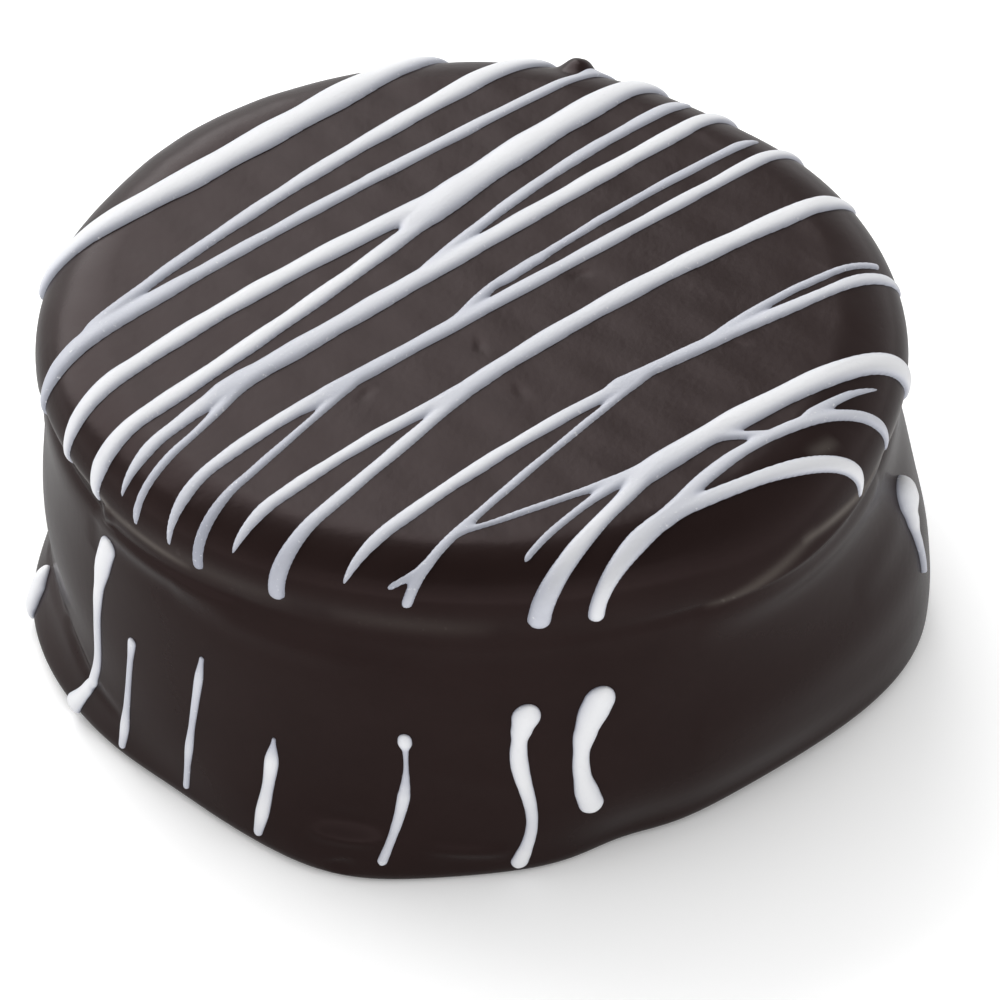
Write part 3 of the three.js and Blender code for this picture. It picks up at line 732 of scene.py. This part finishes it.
def drip_points(drip):
    """A bead's rings down a drip's path, and at each point how well the icing covers the coat, with painted
    shade on its sides.
    """
    share = (1 - np.cos(np.linspace(0, np.pi, DRIP_ROWS + 2)[1:-1])) / 2
    bend = drip["bow"] * np.sin(np.pi * share) + drip["sway"] * np.sin(2 * np.pi * share)
    angle = drip["angle"][0] + (drip["angle"][1] - drip["angle"][0]) * share + bend
    height = drip["height"][0] + (drip["height"][1] - drip["height"][0]) * share
    below = WAY >= WAIST_WAY
    way = np.interp(-height, -SECTION_HEIGHT[below], WAY[below])
    line, normal = coat_at(way, angle), coat_normal(way, angle)
    forward = np.gradient(line, axis=0)
    forward = forward / np.linalg.norm(forward, axis=1, keepdims=True)
    sideways = np.cross(normal, forward)
    length = abs(drip["height"][0] - drip["height"][1])
    width = smooth_widths(share, drip["wide"])
    to_end = np.minimum(share, 1 - share) * length
    shortfall = np.clip(1 - 2 * to_end / width, 0, 1)
    half = width / 2 * np.sqrt(1 - shortfall**2)
    around = np.linspace(0, 2 * np.pi, DRIP_COLUMNS, endpoint=False)
    rise = (BEAD_RISE + BEAD_RISE_PER_WIDTH * 2 * half) * drip.get("swollen", 1)
    lift = np.where(np.sin(around) > 0, rise[:, None], BEAD_SINK) * np.sin(around)
    rings = (line[:, None] + sideways[:, None] * (half[:, None] * np.cos(around))[..., None]
             + normal[:, None] * lift[..., None])
    tips = np.array([line[0], line[-1]])
    # Narrow drips are greyer; falling towards the sides of the bead, the cover also paints shade there
    full = np.clip(width / FULL_COVER_WIDTH, 0, 1)
    cover = full[:, None] * np.sqrt(np.maximum(np.sin(around), 0))
    return np.vstack([rings.reshape(-1, 3), tips]), np.concatenate([cover.ravel(), full[[0, -1]]])


drip_quads, drip_fans = closed_grid_faces(DRIP_ROWS, DRIP_COLUMNS)
made = [drip_points(drip) for drip in DRIPS]
first_points = np.arange(len(made))[:, None, None] * len(made[0][0])
all_quads = (drip_quads + first_points).reshape(-1, 4)
all_fans = (drip_fans + first_points).reshape(-1, 3)
drip_faces = all_quads.tolist() + all_fans.tolist()
drips = make_piece("icing_drips", np.vstack([points for points, _ in made]), drip_faces, icing)
drip_cover_and_shade = drips.data.attributes.new("cover", "FLOAT", "POINT")
drip_cover_and_shade.data.foreach_set("value", np.concatenate([cover for _, cover in made]))
declare(drips)

# %% [markdown]
# ## Finishes
#
# The chocolate is nearly black-brown with a satin skin that is a little uneven in tone and gloss, with
# pale lines near the rim: a rubbed spot on the shoulder and a painted highlight along the crease of the
# waist. The icing is white with a sugary grain, and where it lies thin the dark coat shows through as a
# cool grey, so its colour follows the cover that each mesh stores; that grey is also painted shade on the
# sloping sides of each bead. Both use one group of noises; plain colours alone would look like plastic.

# %% Group of noises for both finishes
MOTTLE_DETAIL = 4.0
MOTTLE_ROUGHNESS = 0.6
MOTTLE_RANGE = (0.3, 0.7)
GRAIN_DETAIL = 3.0
GRAIN_HEIGHT = 0.0002
SPECK_RANGE = (0.64, 0.76)
PLAIN_SKIN = (("Mottle Scale", 90.0), ("Grain Scale", 900.0), ("Grain Strength", 0.06))


def node(tree, kind, **values):
    """Adds a shader node and sets its inputs by name."""
    made_node = tree.nodes.new(kind)
    for key, value in values.items():
        made_node.inputs[key.replace("_", " ")].default_value = value
    return made_node


def mapped(tree, value, low, high, to_low, to_high):
    """A value moved from one range to another, held inside it."""
    made_node = node(tree, "ShaderNodeMapRange")
    for key, number in zip(("From Min", "From Max", "To Min", "To Max"), (low, high, to_low, to_high)):
        made_node.inputs[key].default_value = number
    tree.links.new(value, made_node.inputs["Value"])
    return made_node.outputs["Result"]


def mixed(tree, share, first, second):
    """A colour between two, by a share; each is a colour or another node's output."""
    made_node = tree.nodes.new("ShaderNodeMix")
    made_node.data_type = "RGBA"
    tree.links.new(share, made_node.inputs["Factor"])
    for socket, colour in zip((made_node.inputs[6], made_node.inputs[7]), (first, second)):
        if isinstance(colour, tuple):
            socket.default_value = (*colour, 1)
        else:
            tree.links.new(colour, socket)
    return made_node.outputs[2]


def make_noises():
    """Slow mottling, a fine grain as a bumped normal, and a mask of specks where a noise is highest."""
    group = bpy.data.node_groups.new("uneven_skin", "ShaderNodeTree")
    for name, default in PLAIN_SKIN:
        socket = group.interface.new_socket(name, in_out="INPUT", socket_type="NodeSocketFloat")
        socket.default_value = default
    for name, kind in (("Mottle", "Float"), ("Specks", "Float"), ("Normal", "Vector")):
        group.interface.new_socket(name, in_out="OUTPUT", socket_type=f"NodeSocket{kind}")
    inputs = group.nodes.new("NodeGroupInput")
    outputs = group.nodes.new("NodeGroupOutput")
    place = group.nodes.new("ShaderNodeTexCoord")
    mottle = node(group, "ShaderNodeTexNoise", Detail=MOTTLE_DETAIL, Roughness=MOTTLE_ROUGHNESS)
    grain = node(group, "ShaderNodeTexNoise", Detail=GRAIN_DETAIL)
    bump = node(group, "ShaderNodeBump", Distance=GRAIN_HEIGHT)
    for noise, name in ((mottle, "Mottle Scale"), (grain, "Grain Scale")):
        group.links.new(place.outputs["Object"], noise.inputs["Vector"])
        group.links.new(inputs.outputs[name], noise.inputs["Scale"])
    group.links.new(grain.outputs["Fac"], bump.inputs["Height"])
    group.links.new(inputs.outputs["Grain Strength"], bump.inputs["Strength"])
    group.links.new(mapped(group, mottle.outputs["Fac"], *MOTTLE_RANGE, 0, 1), outputs.inputs["Mottle"])
    group.links.new(mapped(group, grain.outputs["Fac"], *SPECK_RANGE, 0, 1), outputs.inputs["Specks"])
    group.links.new(bump.outputs["Normal"], outputs.inputs["Normal"])
    return group


noises = make_noises()
print("group:", noises.name, [item.name for item in noises.interface.items_tree])


# %% Chocolate and icing
# A skin has the scale of its mottling, the scale of its grain and the strength of its grain
BROWN_SKIN = (110.0, 1500.0, 0.07)
BROWN_DARK = (0.0155, 0.0088, 0.0080)
BROWN_LIGHT = (0.0188, 0.0109, 0.0100)
# Colour of the rubbed spot and of the painted highlight along the crease
BROWN_SCUFF_AND_HIGHLIGHT = (0.19, 0.17, 0.15)
BROWN_GLOSS = 0.15
BROWN_GLOSS_TINT = (1.0, 0.74, 0.75, 1)
BROWN_ROUGHNESS = (0.21, 0.27)
LEAST_STREAK = 0.5
WHITE_SKIN = (700.0, 3200.0, 0.16)
# The thin colour is thin icing over the coat and also the painted shade on the sides of each bead
WHITE_THIN_AND_SHADED = (0.30, 0.315, 0.38, 1)
WHITE_HALF = (0.56, 0.575, 0.64, 1)
WHITE_FULL = (0.84, 0.845, 0.865, 1)
WHITE_SPECKS = (0.78, 0.785, 0.81)
WHITE_ROUGHNESS = 0.42


def skin_of(tree, mottle_scale, grain_scale, grain_strength):
    """One use of the group of noises, with its own sizes."""
    skin = tree.nodes.new("ShaderNodeGroup")
    skin.node_tree = noises
    skin.inputs["Mottle Scale"].default_value = mottle_scale
    skin.inputs["Grain Scale"].default_value = grain_scale
    skin.inputs["Grain Strength"].default_value = grain_strength
    return skin


def stored(tree, name):
    """A number that the mesh stores at each point."""
    reader = tree.nodes.new("ShaderNodeAttribute")
    reader.attribute_name = name
    return reader.outputs["Fac"]


def product(tree, first, second):
    """Two values multiplied."""
    times = tree.nodes.new("ShaderNodeMath")
    times.operation = "MULTIPLY"
    tree.links.new(first, times.inputs[0])
    tree.links.new(second, times.inputs[1])
    return times.outputs["Value"]


def finish_chocolate():
    """Dark brown with slow changes of tone and gloss, and pale streaks: a rubbed spot and a painted highlight
    along the crease.
    """
    chocolate.use_nodes = True
    tree = chocolate.node_tree
    shader = tree.nodes["Principled BSDF"]
    shader.inputs["Specular IOR Level"].default_value = BROWN_GLOSS
    shader.inputs["Specular Tint"].default_value = BROWN_GLOSS_TINT
    skin = skin_of(tree, *BROWN_SKIN)
    brown = mixed(tree, skin.outputs["Mottle"], BROWN_DARK, BROWN_LIGHT)
    streaks = mapped(tree, skin.outputs["Specks"], 0, 1, LEAST_STREAK, 1)
    # The painted crease highlight and the rubbed spot, broken into streaks by the speck noise
    scuff_and_highlight = product(tree, stored(tree, "scuff_and_highlight"), streaks)
    roughness = mapped(tree, skin.outputs["Mottle"], 0, 1, *BROWN_ROUGHNESS)
    tree.links.new(mixed(tree, scuff_and_highlight, brown, BROWN_SCUFF_AND_HIGHLIGHT), shader.inputs["Base Color"])
    tree.links.new(roughness, shader.inputs["Roughness"])
    tree.links.new(skin.outputs["Normal"], shader.inputs["Normal"])


def finish_icing():
    """White where it covers the coat, cool grey where it is thin and painted grey shade on the sloping sides
    of each bead, with a sugary grain.
    """
    icing.use_nodes = True
    tree = icing.node_tree
    shader = tree.nodes["Principled BSDF"]
    shader.inputs["Roughness"].default_value = WHITE_ROUGHNESS
    skin = skin_of(tree, *WHITE_SKIN)
    ramp = tree.nodes.new("ShaderNodeValToRGB")
    ramp.color_ramp.elements[0].color = WHITE_THIN_AND_SHADED
    ramp.color_ramp.elements[1].color = WHITE_FULL
    middle = ramp.color_ramp.elements.new(0.5)
    middle.color = WHITE_HALF
    tree.links.new(stored(tree, "cover"), ramp.inputs["Fac"])
    speckled = mixed(tree, skin.outputs["Specks"], ramp.outputs["Color"], WHITE_SPECKS)
    tree.links.new(speckled, shader.inputs["Base Color"])
    tree.links.new(skin.outputs["Normal"], shader.inputs["Normal"])


finish_chocolate()
finish_icing()
print("finishes:", chocolate.name, icing.name)

# %% [markdown]
# ## Floor, light and camera
#
# The floor is white and glows a little, as a lit table does, and its glow is weaker where it is hemmed in,
# which paints a contact shadow round the base. One large soft light, of two panels one over the other so
# that its edge is soft, stands behind and to the left, and its reflection lies on the top. A weak panel
# stands in front, and the surround is brighter at the horizon than overhead. The camera looks down at the
# angle worked out from the ellipses of the outline.

# %% Floor
FLOOR_TONE = 0.92
FLOOR_TONE_REFLECTED = 0.2
FLOOR_GLOW = 0.62
FLOOR_GLOW_REFLECTED = 0.45
FLOOR_SIDE = 6.0
FLOOR_ROUGHNESS = 0.9
SHADE_REACH = 0.06
SHADE_SAMPLES = 4


def make_floor():
    """A wide white floor under the base, darker in reflections, whose glow is weaker where it is hemmed in: a
    painted contact shadow.
    """
    mesh = bpy.data.meshes.new("floor")
    corners = FLOOR_SIDE * np.array([(-1, -1, 0), (1, -1, 0), (1, 1, 0), (-1, 1, 0)])
    mesh.from_pydata(corners.tolist(), [], [(0, 1, 2, 3)])
    paint = bpy.data.materials.new("floor_white")
    paint.use_nodes = True
    tree = paint.node_tree
    shader = tree.nodes["Principled BSDF"]
    shader.inputs["Roughness"].default_value = FLOOR_ROUGHNESS
    shader.inputs["Emission Color"].default_value = (1, 1, 1, 1)
    rays = tree.nodes.new("ShaderNodeLightPath")
    tone = mapped(tree, rays.outputs["Is Glossy Ray"], 0, 1, FLOOR_TONE, FLOOR_TONE_REFLECTED)
    tree.links.new(tone, shader.inputs["Base Color"])
    # Painted contact shadow: the glow is scaled by how open the floor is within SHADE_REACH, so it is darker
    # near the base
    open_sky = node(tree, "ShaderNodeAmbientOcclusion", Distance=SHADE_REACH)
    open_sky.samples = SHADE_SAMPLES
    glow = mapped(tree, rays.outputs["Is Camera Ray"], 0, 1, FLOOR_GLOW_REFLECTED, FLOOR_GLOW)
    tree.links.new(product(tree, glow, open_sky.outputs["AO"]), shader.inputs["Emission Strength"])
    mesh.materials.append(paint)
    floor = bpy.data.objects.new("floor", mesh)
    bpy.context.scene.collection.objects.link(floor)


make_floor()
print("floor, metres from the middle to a side:", FLOOR_SIDE)

# %% Lights, with places and sizes in metres
BACK_PLACE = (-0.52, 0.8, 0.75)
BACK_TARGET = (-0.05, 0, 0.02)
BACK_RADIANCE = 5.6
BACK_SIZES = [(1.0, 0.8), (1.22, 0.94)]
BACK_SHARES = [0.6, 0.4]
FRONT_PLACE = (0.1, -0.9, 0.5)
FRONT_TARGET = (0, 0, 0.01)
FRONT_SIZE = (1.8, 0.9)
FRONT_RADIANCE = 0.35


def make_panel(name, place, target, size, radiance):
    """A soft rectangular light that faces a target; power is radiance times area times pi."""
    light = bpy.data.lights.new(name, "AREA")
    light.shape = "RECTANGLE"
    light.size, light.size_y = size
    light.energy = radiance * size[0] * size[1] * np.pi
    panel = bpy.data.objects.new(name, light)
    panel.location = place
    panel.rotation_euler = (Vector(target) - Vector(place)).to_track_quat("-Z", "Y").to_euler()
    bpy.context.scene.collection.objects.link(panel)


for i, (size, share) in enumerate(zip(BACK_SIZES, BACK_SHARES)):
    make_panel(f"back_panel_{i}", BACK_PLACE, BACK_TARGET, size, BACK_RADIANCE * share)
make_panel("front_panel", FRONT_PLACE, FRONT_TARGET, FRONT_SIZE, FRONT_RADIANCE)
print("panels behind:", len(BACK_SIZES), "and in front: 1")

# %% Camera
ANGLE_DOWN = np.radians(39.5)
DISTANCE = 0.56
PIXELS_PER_MM = 12.8
FRAME_PIXELS = 1000
TARGET_HEIGHT = 0.015
TARGET_PIXEL = (471.5, 446.0)
SENSOR = 36.0


def make_camera():
    """A long lens at the photo's height angle, shifted a little for its framing."""
    target = np.array([CENTRE_SHIFT[0] * MM, CENTRE_SHIFT[1] * MM, TARGET_HEIGHT])
    lens = bpy.data.cameras.new("camera")
    lens.sensor_width = SENSOR
    lens.lens = SENSOR * PIXELS_PER_MM * DISTANCE / MM / FRAME_PIXELS
    lens.shift_x = (FRAME_PIXELS / 2 - TARGET_PIXEL[0]) / FRAME_PIXELS
    lens.shift_y = (TARGET_PIXEL[1] - FRAME_PIXELS / 2) / FRAME_PIXELS
    camera = bpy.data.objects.new("camera", lens)
    back = np.array([0.0, -np.cos(ANGLE_DOWN), np.sin(ANGLE_DOWN)])
    camera.location = target + back * DISTANCE
    camera.rotation_euler = (np.pi / 2 - ANGLE_DOWN, 0, 0)
    bpy.context.scene.collection.objects.link(camera)
    bpy.context.scene.camera = camera


make_camera()
print("camera:", tuple(bpy.context.scene.camera.location))

# %% Surround
AT_HORIZON = 1.2
OVERHEAD = 0.1


def make_surround():
    """A pale surround whose strength falls from the horizon to overhead."""
    world = bpy.data.worlds.new("surround")
    world.use_nodes = True
    tree = world.node_tree
    place = tree.nodes.new("ShaderNodeTexCoord")
    parts = tree.nodes.new("ShaderNodeSeparateXYZ")
    tree.links.new(place.outputs["Generated"], parts.inputs["Vector"])
    strength = mapped(tree, parts.outputs["Z"], 0, 1, AT_HORIZON, OVERHEAD)
    tree.nodes["Background"].inputs["Color"].default_value = (1, 1, 1, 1)
    tree.links.new(strength, tree.nodes["Background"].inputs["Strength"])
    bpy.context.scene.world = world


make_surround()
bpy.context.scene.view_settings.view_transform = "Standard"
print("surround:", bpy.context.scene.world.name)
